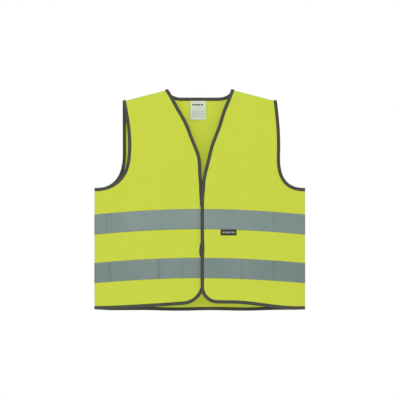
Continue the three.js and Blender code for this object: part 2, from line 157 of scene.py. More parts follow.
def shoulder_line(across):
    """Height of the shoulder seam: level to the neck point, then a straight fall to the tip."""
    out = np.clip(np.abs(across), neck_half, shoulder_half) - neck_half
    return -shoulder_fall / (shoulder_half - neck_half) * out


def fold_top(front):
    """Top of the roll line: 12 mm inside the front edge, 15 mm below the neck point."""
    start = -0.015
    reach = 0.012
    step = 0.001
    run = (front_edge(front, start + step) - front_edge(front, start - step)) / (2 * step)
    length = np.hypot(run, 1)
    return front_edge(front, start) + reach / length, start - reach * run / length


def fold_line(front, z):
    """Distance from the centre of the straight line about which a front opens."""
    top_across, top_z = fold_top(front)
    return mix(top_across, fold_hem_half, (z - top_z) / (-body_length - top_z))


def front_edge(front, z):
    """Cloth edge of a front: a power curve down the V with small waves of 0.9 mm, then
    straight down the centre, and drawn back by the front's own ease."""
    rest = (1 - np.clip(-z / v_depth, 0, 1)) ** front["bend"]
    edge = mix(front["edge"], neck_half, rest)
    along_v = smooth(-z / 0.05) * smooth((z + 0.26) / 0.04)
    edge = edge + 0.0009 * np.sin(z * 72 + 2 * front["hand"]) * along_v
    if front["hand"] < 0:
        return edge + closure_ease(z) * (1 - smooth((z + v_depth) / 0.085))
    return edge + overlap_ease(z)


def closure_ease(z):
    """How far the right front draws back from the closure above, between and below the strips."""
    above = 0.0050 * smooth((z + 0.304) / 0.018) + 0.0025 * smooth((z + 0.290) / 0.050)
    between = 0.0068 * np.exp(-(((z + 0.402) / 0.026) ** 2)) * smooth((z + 0.426) / 0.016)
    below = 0.0020 * smooth((-0.470 - z) / 0.020)
    return above + between + below


def overlap_ease(z):
    """How far the left front draws back: round the foot of the V and between the strips."""
    width = np.where(z > -0.232, 0.036, 0.028)
    at_foot = 0.0036 * np.exp(-(((z + 0.232) / width) ** 2))
    return at_foot + 0.0012 * np.exp(-(((z + 0.396) / 0.018) ** 2))


def packing_creases(side, x, z):
    """Sum of narrow ridges, one along each line where the vest was folded in its bag."""
    lines = (
        # across at mid height, slant, height, half width
        (-0.221, 0.020, 0.0011, 0.0050),
        (-0.101, -0.012, 0.0012, 0.0042),
        (-0.043, 0.006, 0.0006, 0.0055),
        (0.103, 0.010, 0.0008, 0.0048),
        (0.183, -0.016, 0.0012, 0.0050),
    )
    height = np.zeros(np.broadcast(x, z).shape)
    for where, slant, rise, width in lines:
        off = x - where - slant * (z + 0.30)
        strength = 0.55 + 0.45 * np.sin(z * 21 + where * 60)
        turn = 1 if side < 0 else -0.8
        height = height + turn * rise * strength * np.exp(-((off / width) ** 2))
    return height


def soft_waves(side, x, z):
    """Three crossing waves over the whole cloth and a faint level one across the chest."""
    shift = 0.7 if side > 0 else 0.0
    long_wave = 0.0009 * np.sin(x * 23 + z * 3 + shift) * smooth(-z / 0.3)
    cross_wave = 0.0006 * np.sin(x * 41 - z * 17 + 1.3 + shift) * smooth(-z / 0.2)
    small_wave = 0.0003 * np.sin(x * 88 + z * 61 + 2.1 * shift)
    level = 0.0005 * np.sin(z * 190 + x * 9) * np.exp(-(((z + 0.215) / 0.05) ** 2))
    return long_wave + cross_wave + small_wave + level


def cloth_depth(side, across, z, front=None, hand=1):
    """Distance of the cloth's outer face from the middle plane: a hollow that grows with the
    drop, times a quartic across, times the rounding below the shoulder, plus creases, plus the
    lift of the left front over the right one."""
    hollow = mix(depth_top, depth_hem[side], -z / body_length)
    taper = 1 - (np.abs(across) / half_width) ** 4
    below = shoulder_line(across) - z
    rounding = 1 - (1 - np.clip(below / shoulder_round, 0, 1)) ** 2
    free = smooth((half_width - np.abs(across)) / 0.03) * smooth(below / 0.04)
    x = hand * across
    drape = (packing_creases(side, x, z) + soft_waves(side, x, z)) * free
    depth = seam_half + hollow * taper * rounding + drape
    if front is not None:
        fold = fold_line(front, z)
        depth = depth + front["lift"] * smooth((fold - across) / (fold - front["edge"]))
    return depth


def on_cloth(side, hand, across, z, height=0.0, front=None, pinch=None):
    """Points at a height above the cloth's outer face: the face itself plus height times its
    unit normal, which comes from the slopes of cloth_depth."""
    across, z = np.broadcast_arrays(np.asarray(across, float), np.asarray(z, float))
    step = 0.0002

    def depth_at(off_across, off_z):
        return cloth_depth(side, across + off_across, z + off_z, front, hand)

    depth = depth_at(0, 0) if pinch is None else depth_at(0, 0) - pinch
    slope_x = (depth_at(step, 0) - depth_at(-step, 0)) / (2 * step)
    slope_z = (depth_at(0, step) - depth_at(0, -step)) / (2 * step)
    length = np.sqrt(1 + slope_x**2 + slope_z**2)
    x = hand * (across - slope_x / length * height)
    y = side * (depth + height / length)
    return np.stack([x, y, z - slope_z / length * height], axis=-1)


def unit(vectors):
    """Each vector divided by its length."""
    return vectors / np.linalg.norm(vectors, axis=-1, keepdims=True)


def new_piece(name, vertices, faces, material, uv=None, values=None):
    """A mesh object with smooth faces, an optional UV per vertex and named point values."""
    mesh = bpy.data.meshes.new(name)
    mesh.from_pydata(vertices.reshape(-1, 3).tolist(), [], faces)
    mesh.polygons.foreach_set("use_smooth", np.ones(len(mesh.polygons), bool))
    corner = np.empty(len(mesh.loops), np.int32)
    mesh.loops.foreach_get("vertex_index", corner)
    if uv is not None:
        layer = mesh.uv_layers.new(name="plan")
        layer.data.foreach_set("uv", uv.reshape(-1, 2)[corner].astype(np.float32).ravel())
    for label, value in (values or {}).items():
        attribute = mesh.attributes.new(label, "FLOAT", "POINT")
        attribute.data.foreach_set("value", value.astype(np.float32).ravel())
    mesh.materials.append(material)
    mesh.update()
    piece = bpy.data.objects.new(name, mesh)
    bpy.context.collection.objects.link(piece)
    return piece


def turned_out(vertices, faces):
    """The faces, each reversed if the closed mesh's signed volume is below zero."""
    corners = vertices.reshape(-1, 3)[faces]
    first, second, third, fourth = (corners[:, i] for i in range(4))
    triple = np.einsum("ij,ij->i", first, np.cross(second, third))
    triple = triple + np.einsum("ij,ij->i", first, np.cross(third, fourth))
    return faces[:, ::-1] if triple.sum() < 0 else faces


def sheet_faces(rows, columns):
    """Quads of a closed sheet made of a top grid, a bottom grid and the rim between them."""
    index = np.arange(rows * columns).reshape(rows, columns)
    count = rows * columns
    quads = [index[:-1, :-1], index[1:, :-1], index[1:, 1:], index[:-1, 1:]]
    top = np.stack([q.ravel() for q in quads], axis=1)
    bottom = top[:, ::-1] + count
    rim = np.concatenate([index[:, 0], index[-1, 1:], index[-2::-1, -1], index[0, -2:0:-1]])
    after = np.roll(rim, -1)
    side = np.stack([after, rim, rim + count, after + count], axis=1)
    return np.concatenate([top, bottom, side])


def run_length(points):
    """Distance of each point from the first, along the path through them."""
    steps = np.linalg.norm(np.diff(points, axis=0), axis=1)
    return np.concatenate([[0], np.cumsum(steps)])


def ring_quads(count, around):
    """Point numbers of a tube of rings, and the quads between each ring and the next."""
    index = np.arange(count * around).reshape(count, around)
    after = np.roll(index, -1, axis=1)
    quads = np.stack([index[:-1], after[:-1], after[1:], index[1:]], axis=-1)
    return index, quads.reshape(-1, 4)


def add_sheet(name, outer, inner, material, uv, crease=None):
    """A closed sheet between two grids of points of the same shape (rows, columns, 3)."""
    rows, columns = outer.shape[:2]
    vertices = np.concatenate([outer.reshape(-1, 3), inner.reshape(-1, 3)])
    faces = turned_out(vertices, sheet_faces(rows, columns))
    both_uv = np.concatenate([uv.reshape(-1, 2), uv.reshape(-1, 2)])
    crease = np.zeros((rows, columns)) if crease is None else crease
    both_crease = np.concatenate([crease.ravel(), crease.ravel()])
    return new_piece(name, vertices, faces.tolist(), material, both_uv, {"crease": both_crease})


# ---------------------------------------------------------------- back panel
# One piece of warp-knitted polyester, dyed fluorescent yellow, cut with a shallow round neck
# and two armholes. It is sewn to the fronts at the shoulders and at the sides.


def new_group(name, inputs, outputs):
    """A node group that takes plan coordinates and numbers with defaults, and gives numbers.
    Returns the group, its inputs and its outputs."""
    group = bpy.data.node_groups.new(name, "ShaderNodeTree")
    group.interface.new_socket(name="Plan", in_out="INPUT", socket_type="NodeSocketVector")
    for label, value in inputs.items():
        socket = group.interface.new_socket(
            name=label, in_out="INPUT", socket_type="NodeSocketFloat"
        )
        socket.default_value = value
    for label in outputs:
        group.interface.new_socket(name=label, in_out="OUTPUT", socket_type="NodeSocketFloat")
    start = group.nodes.new("NodeGroupInput").outputs
    return group, start, group.nodes.new("NodeGroupOutput").inputs


def add_math(tree, operation, first, second=None, third=None):
    """A math node; each term is a socket or a number."""
    made = tree.nodes.new("ShaderNodeMath")
    made.operation = operation
    for socket, term in zip(made.inputs, (first, second, third)):
        if isinstance(term, bpy.types.NodeSocket):
            tree.links.new(term, socket)
        elif term is not None:
            socket.default_value = term
    return made.outputs[0]


def add_group(material, group, values):
    """A placed node group with its named inputs set to numbers or linked to sockets."""
    made = material.node_tree.nodes.new("ShaderNodeGroup")
    made.node_tree = group
    for label, value in values.items():
        if isinstance(value, bpy.types.NodeSocket):
            material.node_tree.links.new(value, made.inputs[label])
        else:
            made.inputs[label].default_value = value
    return made.outputs


# Knit: rows of slightly swaying loops, a rectified sine across bent by a sine along.
knit, knit_in, knit_out = new_group("knit", {"Pitch": 0.0011, "Sway": 0.22}, ("Height", "Shade"))
knit_split = knit.nodes.new("ShaderNodeSeparateXYZ")
knit.links.new(knit_in["Plan"], knit_split.inputs[0])
knit_across = add_math(knit, "DIVIDE", knit_split.outputs[0], knit_in["Pitch"])
knit_along = add_math(knit, "DIVIDE", knit_split.outputs[1], knit_in["Pitch"])
knit_turn = add_math(knit, "SINE", add_math(knit, "MULTIPLY", knit_along, 2 * np.pi))
knit_bend = add_math(knit, "MULTIPLY", knit_turn, knit_in["Sway"])
knit_phase = add_math(knit, "MULTIPLY", add_math(knit, "ADD", knit_across, knit_bend), np.pi)
knit_rib = add_math(knit, "ABSOLUTE", add_math(knit, "SINE", knit_phase))
knit_loop = add_math(knit, "MULTIPLY_ADD", knit_turn, 0.22, 0.78)
knit_height = add_math(knit, "MULTIPLY", knit_rib, knit_loop)
knit.links.new(knit_height, knit_out["Height"])
knit.links.new(add_math(knit, "MULTIPLY_ADD", knit_height, 0.16, 0.90), knit_out["Shade"])

# Patches and crease shading: cloudy lighter and darker patches, and the packaging creases painted
# paler or darker by the crease strength; the darker creases are painted shade.
shading_defaults = {"Patch Size": 0.05, "Patch Strength": 0.05, "Crease Strength": 0.05}
patch_and_crease_shading, shading_in, shading_out = new_group("patch_and_crease_shading", shading_defaults, ("Tone",))
patch = patch_and_crease_shading.nodes.new("ShaderNodeTexNoise")
patch.inputs["Detail"].default_value = 4
patch_and_crease_shading.links.new(shading_in["Plan"], patch.inputs["Vector"])
patch_scale = add_math(patch_and_crease_shading, "DIVIDE", 1.0, shading_in["Patch Size"])
patch_and_crease_shading.links.new(patch_scale, patch.inputs["Scale"])
patch_even = add_math(patch_and_crease_shading, "SUBTRACT", patch.outputs[0], 0.5)
patch_tone = add_math(patch_and_crease_shading, "MULTIPLY", patch_even, shading_in["Patch Strength"])
# The crease map: where the painted paler or darker crease tone goes.
crease_map = patch_and_crease_shading.nodes.new("ShaderNodeAttribute")
crease_map.attribute_name = "crease"
painted_crease_shading = add_math(
    patch_and_crease_shading, "MULTIPLY", crease_map.outputs["Fac"], shading_in["Crease Strength"]
)
shading_sum = add_math(patch_and_crease_shading, "ADD", add_math(patch_and_crease_shading, "ADD", patch_tone, painted_crease_shading), 1.0)
patch_and_crease_shading.links.new(shading_sum, shading_out["Tone"])


def patch_and_crease_tone(material, plan, size, strength, crease):
    """Tone of a surface: patches of a size and strength, and creases painted paler or darker by a
    strength; where darker, it is painted shade.
    """
    values = {"Plan": plan, "Patch Size": size, "Patch Strength": strength}
    return add_group(material, patch_and_crease_shading, {**values, "Crease Strength": crease})["Tone"]


def start_material(name, roughness, sheen=0.0, specular=0.25, place="plan"):
    """A material with its principled shader and the coordinates that it works in: the piece's
    own plan, or the object's."""
    material = bpy.data.materials.new(name)
    material.use_nodes = True
    tree = material.node_tree
    shader = tree.nodes["Principled BSDF"]
    shader.inputs["Roughness"].default_value = roughness
    shader.inputs["Sheen Weight"].default_value = sheen
    shader.inputs["Specular IOR Level"].default_value = specular
    if place == "object":
        return material, tree, shader, tree.nodes.new("ShaderNodeTexCoord").outputs["Object"]
    plan = tree.nodes.new("ShaderNodeUVMap")
    plan.uv_map = "plan"
    return material, tree, shader, plan.outputs[0]


def tint(tree, shader, colour, value, *tones):
    """Base colour as one colour times each tone."""
    for tone in tones:
        value = add_math(tree, "MULTIPLY", value, tone)
    scale = tree.nodes.new("ShaderNodeVectorMath")
    scale.operation = "SCALE"
    scale.inputs[0].default_value = colour
    tree.links.new(value, scale.inputs["Scale"])
    tree.links.new(scale.outputs[0], shader.inputs["Base Color"])


def raise_bump(tree, shader, height, distance):
    """A bump node that lifts the surface by the height times the distance."""
    bump = tree.nodes.new("ShaderNodeBump")
    bump.inputs["Distance"].default_value = distance
    bump.inputs["Strength"].default_value = 1.0
    tree.links.new(height, bump.inputs["Height"])
    tree.links.new(bump.outputs[0], shader.inputs["Normal"])


def add_ribs(tree, plan, pitch):
    """Distance across the plan, and ribs across a strip: a sine along the plan, from 0 to 1."""
    split = tree.nodes.new("ShaderNodeSeparateXYZ")
    tree.links.new(plan, split.inputs[0])
    wave = add_math(tree, "MULTIPLY", split.outputs[1], 2 * np.pi / pitch)
    return split.outputs[0], add_math(tree, "MULTIPLY_ADD", add_math(tree, "SINE", wave), 0.5, 0.5)


def cloth_material(name, colour, painted_glow):
    """Fluorescent knitted cloth: knit bump and shade, cloudy tone and paler creases. The cloth also
    glows faintly with a constant painted glow, which stands in for the dye's fluorescence and lifts
    the shade inside the vest."""
    material, tree, shader, plan = start_material(name, 0.85, sheen=0.15)
    loops = add_group(material, knit, {"Plan": plan})
    tone = patch_and_crease_tone(material, plan, 0.05, 0.06, 0.03)
    tint(tree, shader, colour, loops["Shade"], tone)
    raise_bump(tree, shader, loops["Height"], 0.00022)
    # Painted glow: the cloth gives out this light under any lamp, lifting its shade.
    shader.inputs["Emission Color"].default_value = (*painted_glow, 1)
    shader.inputs["Emission Strength"].default_value = 1.0
    return material


# The last colour is the cloth's painted glow.
yellow_cloth = cloth_material("fluorescent knit", (0.345, 0.394, 0.031), (0.186, 0.216, 0.014))


def armhole_edge(side, hand, count):
    """Cloth edge of an armhole from shoulder tip to underarm, at even steps along a straight
    fall and a quarter of a squarish ellipse (power 2.5). The closed fronts shift it by a sine
    of the drop, and the right one also hangs up to 4 mm low round the curve."""
    curve_start = shoulder_fall + armhole_straight
    curve_foot = armhole_depth - 0.002
    fine = np.linspace(0, np.pi / 2, 400)
    power = 2 / 2.5
    across = mix(shoulder_half, half_width, 1 - np.cos(fine) ** power)
    across = np.concatenate([[shoulder_half], across])
    z = np.concatenate([[-shoulder_fall], -mix(curve_start, curve_foot, np.sin(fine) ** power)])
    run = run_length(np.stack([across, z], axis=1))
    at = np.linspace(0, run[-1], count)
    across = np.interp(at, run, across)
    z = np.interp(at, run, z)
    if side > 0:
        return across, z
    along = (-z - shoulder_fall) / (armhole_depth - shoulder_fall)
    if hand < 0:
        low_start = 0.55
        on_curve = np.clip((along - low_start) / (1 - low_start), 0, 1)
        z = z - 0.0040 * np.sin(np.pi * on_curve) ** 2
    return across + lay_shift[hand] * np.sin(np.pi * along), z


def back_neck(across):
    """Cloth edge of the back neck: flat, then a quarter ellipse up to the neck point."""
    part = np.clip((np.abs(across) - (neck_half - neck_corner)) / neck_corner, 0, 1)
    return -neck_depth * np.sqrt(1 - part**2)


def neck_path(curve_count, level_count):
    """The back neck's edge as a path from the neck point to the centre."""
    curve = neck_half - neck_corner * (1 - np.cos(np.linspace(0, np.pi / 2, curve_count)))
    level = np.linspace(neck_half - neck_corner, 0, level_count)[1:]
    across = np.concatenate([curve, level])
    return across, back_neck(across)


def seam_pinch(across, z):
    """How far the cloth sinks towards its other half at a seam: most on the seam line, none
    6 mm inside it, and none under the bindings."""
    reach = 0.006
    deepest = seam_half - cloth_thickness - 0.00005
    out = np.abs(across)
    side_part = smooth(1 - (half_width - out) / reach)
    side_part = side_part * smooth((-armhole_depth - 0.004 - z) / 0.012)
    side_part = side_part * smooth((z + body_length - 0.006) / 0.012)
    top_part = smooth(1 - (shoulder_line(across) - z) / reach)
    top_part = top_part * smooth((out - neck_half - 0.006) / 0.008)
    top_part = top_part * smooth((shoulder_half - 0.008 - out) / 0.008)
    return deepest * np.maximum(side_part, top_part)


def panel_sheet(name, side, hand, across, z, front=None):
    """A panel: its outer face on the plan points, its inner face one cloth below."""
    pinch = seam_pinch(across, z)
    outer = on_cloth(side, hand, across, z, 0.0, front, pinch)
    inner = on_cloth(side, hand, across, z, -cloth_thickness, front, pinch)
    uv = np.stack([hand * across, z], axis=-1)
    highest_crease = 0.0012
    crease = np.abs(packing_creases(side, hand * across, z)) / highest_crease
    return add_sheet(name, outer, inner, yellow_cloth, uv, crease)


def back_hem_edge(across):
    """Cloth edge of the back hem: it sags 4 mm in the middle and waves a little."""
    sag = 0.0042 * (1 - (across / half_width) ** 4)
    wave = 0.0007 * np.sin(across * 37 + 0.6) * smooth((half_width - np.abs(across)) / 0.04)
    return -body_length - sag + wave


side_rows = 76
edge_across, edge_z = armhole_edge(1, 1, 80)
below_z = np.linspace(-armhole_depth, -body_length, side_rows + 1)[1:]
edge_across = np.concatenate([edge_across, np.full(side_rows, half_width)])
edge_z = np.concatenate([edge_z, below_z])
half_columns = np.concatenate([
    neck_path(15, 14)[0][::-1],
    np.linspace(neck_half, shoulder_half, 36)[1:],
])
top_across = np.concatenate([-half_columns[:0:-1], half_columns])
inside_neck = np.abs(top_across) < neck_half
top_z = np.where(inside_neck, back_neck(top_across), shoulder_line(top_across))
level_out = 1 - smooth((-edge_z - shoulder_fall) / 0.120)
panel_across = top_across[None, :] / shoulder_half * edge_across[:, None]
panel_z = edge_z[:, None] + (top_z + shoulder_fall)[None, :] * level_out[:, None]
sag_start = 0.46
sagging = smooth((-edge_z[:, None] - sag_start) / (body_length - sag_start))
panel_z = panel_z + (back_hem_edge(panel_across) + body_length) * sagging
back_panel = panel_sheet("back_panel_cloth", 1, 1, panel_across, panel_z)
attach(back_panel, "root")
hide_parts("back_panel")


# ---------------------------------------------------------------- front panels
# Two fronts of the same knit, with a deep V and rounded bottom corners. The left one lies over
# the right one at the centre. Each has a straight fold line from its neck point, which spaces its
# points and inside which the left front is lifted.


def arch(across):
    """Rise of the front's level lines from the side seams to the centre, a parabola."""
    return front_arch * (1 - (across / half_width) ** 2)


def hem_rise(front, across):
    """Rise of a front's hem above the side seam's foot: steady on the right front, and an S
    curve between 80 and 245 mm out on the left one."""
    rest = 1 - np.clip(across / half_width, 0, 1)
    if front["hand"] < 0:
        return 0.0165 * rest**1.15
    curve_start = 0.080
    curve_end = 0.245
    curve = 1 - smooth((across - curve_start) / (curve_end - curve_start))
    return 0.0030 * rest + 0.0145 * curve


def front_outline(front, v_count, centre_count, corner_count):
    """Free edge of a front on the plan: the V, the straight centre, the corner's quarter
    circle. Returns across and z."""
    hem = -body_length + hem_rise(front, front["edge"] + front["corner"])
    turn = np.linspace(0, np.pi / 2, corner_count + 1)[1:]
    corner_z = hem + front["corner"] * (1 - np.sin(turn))
    z = np.concatenate([
        np.linspace(0, -v_depth, v_count),
        np.linspace(-v_depth, hem + front["corner"], centre_count + 1)[1:],
        corner_z,
    ])
    round_out = np.zeros(len(z))
    round_out[-corner_count:] = front["corner"] * (1 - np.cos(turn))
    return front_edge(front, z) + round_out, z


def fold_blend(piece, front):
    """Bakes the piece's transform into its mesh. The ends of the front's fold line, 3 mm inside it
    at the neck and 6 mm outside it at the hem, are worked out but not used."""
    hand = front["hand"]
    top_across, top_z = fold_top(front)
    top = on_cloth(-1, hand, top_across - 0.003, top_z)
    along = unit(on_cloth(-1, hand, fold_hem_half + 0.006, -body_length) - top)
    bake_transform(piece)


def fold_columns(front, inner, outer, z):
    """Positions across a front from its inner to its outer limit at each z, close together
    over the roll beside the fold line and wider apart on both sides of it."""
    roll_inside = 0.021
    roll_outside = 0.009
    fold = fold_line(front, z)
    near = np.maximum(fold - roll_inside, inner + 0.1 * (fold - inner))
    limits = (inner, near, fold + roll_outside, outer)
    columns = []
    for first, last, count in zip(limits[:-1], limits[1:], (34, 48, 42)):
        part = np.linspace(0, 1, count + 1)[None, 1 if columns else 0:]
        columns.append(mix(first[:, None], last[:, None], part))
    return np.concatenate(columns, axis=1)


def add_front_panel(label, front):
    """A front as rows of points from its free edge to its armhole and side seam. The rows are
    straight by the armhole, arched below it, and follow the hem at the foot."""
    hand = front["hand"]
    v_rows = 80
    outer_across, outer_z = armhole_edge(-1, hand, v_rows)
    inner_across, inner_z = front_outline(front, v_rows, 58, 22)
    drop = (inner_z[v_rows:] + v_depth) / (inner_z[-1] + v_depth)
    outer_z = np.concatenate([outer_z, -mix(armhole_depth, body_length, drop)])
    outer_across = np.concatenate([outer_across, np.full(len(drop), half_width)])
    across = fold_columns(front, inner_across, outer_across, mix(inner_z, outer_z, 0.4))
    part = (across - inner_across[:, None]) / (outer_across - inner_across)[:, None]
    down = -inner_z[:, None]
    hem_zone = 0.44
    near_hem = smooth((down - hem_zone) / 0.08)
    rise = mix(arch(across), hem_rise(front, across), near_hem)
    straight = mix(inner_z[:, None], outer_z[:, None], part)
    arched = straight + rise - mix(rise[:, :1], rise[:, -1:], part)
    level_outside = mix(inner_z[:, None], outer_z[:, None], part * (2 - part))
    upper = mix(straight, level_outside, smooth(down / 0.12))
    z = mix(upper, arched, smooth((down - v_depth) / 0.08))
    panel = panel_sheet(f"{label}_front_cloth", -1, hand, across, z, front)
    fold_blend(panel, front)
    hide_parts(f"{label}_front_panel", f"{label}_front_side_panel")


for label, front in fronts.items():
    add_front_panel(label, front)

# ---------------------------------------------------------------- edge binding
# Dark grey ribbed tape, folded in half over every raw edge: the neck, the fronts and hem, the
# back hem, and each armhole with its join at the underarm.

# Points of the profile: how far inward from the cloth's edge, how high over its outer face.
turn = np.linspace(np.pi / 2, 3 * np.pi / 2, 9)
fold_round = np.stack([-0.0001 + 0.00075 * np.cos(turn), -0.0003 + 0.00085 * np.sin(turn)], 1)
binding_profile = np.concatenate([
    [[0.0071, 0.00012], [0.0072, 0.00040], [0.0066, 0.00054], [0.0045, 0.00062]],
    [[0.0022, 0.00060]],
    fold_round,
    [[0.0022, -0.00120], [0.0045, -0.00122], [0.0066, -0.00114], [0.0072, -0.00100]],
    [[0.0071, -0.00068], [0.0040, -0.00072], [0.0004, -0.00070], [0.0000, -0.00045]],
    [[0.0000, -0.00010], [0.0004, 0.00010], [0.0040, 0.00014]],
])


def subdivided(path, step):
    """A closed path with points added so that none of its sides is longer than the step."""
    after = np.roll(path, -1, axis=0)
    points = []
    for first, last in zip(path, after):
        count = int(np.ceil(np.linalg.norm(last - first) / step))
        points.append(mix(first, last, np.linspace(0, 1, count + 1)[:-1, None]))
    return np.concatenate(points)


stretch = (1.05, 1.0)
longest_side = 0.0008
binding_profile = subdivided(binding_profile * stretch, longest_side)


def binding_material():
    """Grosgrain: fine ribs across the strip, painted shade darkening it towards both edges, with
    loose fuzz.
    """
    material, tree, shader, plan = start_material("dark grey binding", 0.9, sheen=0.25)
    across, rib = add_ribs(tree, plan, 0.0009)
    middle = 0.0034
    reach = 0.0040
    # Painted shade: the strip is darker towards both of its edges.
    off = add_math(tree, "ABSOLUTE", add_math(tree, "SUBTRACT", across, middle))
    edge = add_math(tree, "POWER", add_math(tree, "DIVIDE", off, reach), 3.0)
    painted_edge_shade = add_math(tree, "MULTIPLY_ADD", edge, -0.30, 1.06)
    rib_tone = add_math(tree, "MULTIPLY_ADD", rib, 0.18, 0.88)
    tone = patch_and_crease_tone(material, plan, 0.03, 0.25, 0.0)
    tint(tree, shader, (0.054, 0.057, 0.043), painted_edge_shade, rib_tone, tone)
    raise_bump(tree, shader, rib, 0.00018)
    return material


dark_binding = binding_material()


def plan_inward(across, z, turn):
    """Unit vectors square to a path on the plan, on its left for turn 1, its right for -1."""
    run_across = np.gradient(across)
    run_z = np.gradient(z)
    length = np.hypot(run_across, run_z)
    return -turn * run_z / length, turn * run_across / length


def tape_step(z):
    """Extra height of a front binding where it passes over a reflective tape."""
    height = 0.00075
    ramp = 0.0012
    step = np.zeros(len(z))
    for drop in tape_drops.values():
        off = np.abs(z + armhole_depth + drop + tape_width / 2 - front_arch)
        step = np.maximum(step, height * smooth((tape_width / 2 + ramp - off) / ramp))
    return step


def binding_rings(side, hand, across, z, turn, front=None):
    """The folded profile carried along a path: each point goes inward by its first number
    and up from the cloth by its second."""
    into_across, into_z = plan_inward(across, z, turn)
    inward, height = binding_profile.T
    over = tape_step(z)[:, None] * smooth(height / 0.0004) if front is not None else 0.0
    across = across[:, None] + into_across[:, None] * inward
    z = z[:, None] + into_z[:, None] * inward
    return on_cloth(side, hand, across, z, height[None, :] + over, front)


def ridge_rings(hand, across, inward_turn):
    """The folded profile carried over a shoulder seam on a half circle about the seam."""
    angle = np.linspace(0, np.pi, 11)[1:-1, None]
    slope = shoulder_fall / (shoulder_half - neck_half)
    length = np.hypot(1, slope)
    inward, height = binding_profile.T
    radius = seam_half + height[None, :]
    along = across + inward_turn * inward[None, :] / length + slope / length * radius * np.sin(angle)
    base = shoulder_line(across) - inward_turn * slope * inward[None, :] / length
    rise = base + radius * np.sin(angle) / length
    return np.stack([hand * along, -radius * np.cos(angle), rise], axis=-1)


def add_binding(name, rings):
    """A closed strip through rings of points, with flat ends; its plan is (across, along)."""
    index, quads = ring_quads(*rings.shape[:2])
    along = run_length(rings.mean(axis=1))
    uv = np.stack(np.broadcast_arrays(binding_profile[None, :, 0], along[:, None]), axis=-1)
    vertices = rings.reshape(-1, 3)
    ends = (index[0][::-1], index[-1])
    fans = [np.stack([0 * e[2:] + e[0], e[1:-1], e[2:], e[2:]], axis=1) for e in ends]
    closed = np.concatenate([quads, *fans])
    turn = 1 if turned_out(vertices, closed) is closed else -1
    faces = quads[:, ::turn].tolist() + [end[::turn].tolist() for end in ends]
    return new_piece(name, vertices, faces, dark_binding, uv)


armhole_points = 92


def neck_half_rings(hand):
    """Half of the back neck binding, from just in front of the seam to the centre."""
    stub = np.array([-0.0060, -0.0030, -0.0001])
    stub_front = fronts["left" if hand > 0 else "right"]
    front_part = binding_rings(-1, hand, front_edge(stub_front, stub), stub, -1)
    back_part = binding_rings(1, hand, *neck_path(18, 16), 1)
    return np.concatenate([front_part, ridge_rings(hand, neck_half, 1), back_part])


def edge_and_hem(front):
    """Free edge and hem of a front as one path from its neck point to its side seam."""
    edge_across, edge_z = front_outline(front, 200, 120, 40)
    hem_across = np.linspace(edge_across[-1], half_width, 220)[1:]
    hem_z = -body_length + hem_rise(front, hem_across)
    return np.concatenate([edge_across, hem_across]), np.concatenate([edge_z, hem_z])


neck_rings = np.concatenate([neck_half_rings(-1), neck_half_rings(1)[-2::-1]])
neck_binding = add_binding("neck_edge_binding", neck_rings)
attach(neck_binding, "root")
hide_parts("neck_binding")

for label, front in fronts.items():
    hand = front["hand"]
    across, z = armhole_edge(-1, hand, armhole_points)
    rings = np.concatenate([
        binding_rings(-1, hand, across[::-1], z[::-1], 1),
        ridge_rings(hand, shoulder_half, -1),
        binding_rings(1, hand, *armhole_edge(1, hand, armhole_points), -1),
    ])
    armhole = add_binding(f"{label}_armhole_edge_binding", rings)
    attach(armhole, "root")
    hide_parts(f"{label}_armhole_binding")

    across, z = edge_and_hem(front)
    strip = add_binding(
        f"{label}_front_edge_binding", binding_rings(-1, hand, across[1:], z[1:], 1, front)
    )
    fold_blend(strip, front)
    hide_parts(f"{label}_front_binding", f"{label}_front_hem_binding")

hem_across = np.linspace(-half_width, half_width, 180)
hem_rings = binding_rings(1, 1, hem_across, back_hem_edge(hem_across), 1)
back_hem = add_binding("back_hem_edge_binding", hem_rings)
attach(back_hem, "root")
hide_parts("back_hem_binding")

# ---------------------------------------------------------------- reflective tapes
# Two level bands of 50 mm grey glass-bead tape right round the vest. Each is sewn on through
# both long edges and ends in the side seams and under the front bindings.


def tape_material(name, colour):
    """Grey satin tape: beads as fine bright and dark grains, and painted shade darkening it along
    the creases.
    """
    material, tree, shader, plan = start_material(name, 0.55, specular=0.5)
    grain = tree.nodes.new("ShaderNodeTexNoise")
    grain.inputs["Scale"].default_value = 2600
    grain.inputs["Detail"].default_value = 1
    tree.links.new(plan, grain.inputs["Vector"])
    beads = add_math(tree, "MULTIPLY_ADD", grain.outputs[0], 0.30, 0.85)
    # A negative crease strength: painted shade along the tape's creases.
    tone = patch_and_crease_tone(material, plan, 0.09, 0.16, -0.32)
    tint(tree, shader, colour, beads, tone)
    raise_bump(tree, shader, grain.outputs[0], 0.00006)
    facing = tree.nodes.new("ShaderNodeLayerWeight")
    facing.inputs["Blend"].default_value = 0.35
    rough = add_math(tree, "MULTIPLY_ADD", facing.outputs["Facing"], 0.25, 0.42)
    tree.links.new(rough, shader.inputs["Roughness"])
    return material


# The lower band is the same tape, painted a little darker than the upper one: painted shade.
grey_tapes = {
    "upper": tape_material("grey reflective tape above", (0.147, 0.202, 0.187)),
    "lower": tape_material("grey reflective tape below", (0.129, 0.181, 0.168)),
}


# Lines of painted shade across each tape, where it is creased.
tape_crease_shade = {
    # distance from the centre, slant, strength, half width, on the front
    "upper": (
        (-0.2320, 0.00, 0.40, 0.0060), (-0.2200, 0.00, 0.55, 0.0020), (-0.2060, 0.00, 0.20, 0.0025),
        (0.1840, 0.00, 0.45, 0.0020), (0.1600, 0.00, 0.15, 0.0025),
    ),
    "lower": (
        (-0.2230, 0.08, 1.00, 0.0020), (-0.1020, 0.03, 0.95, 0.0022), (-0.0450, 0.00, 0.45, 0.0020),
        (0.0300, 0.00, 0.15, 0.0025), (0.1030, 0.00, 0.40, 0.0020), (0.1830, -0.02, 0.80, 0.0020),
        (0.2440, 0.00, 0.35, 0.0020),
    ),
}


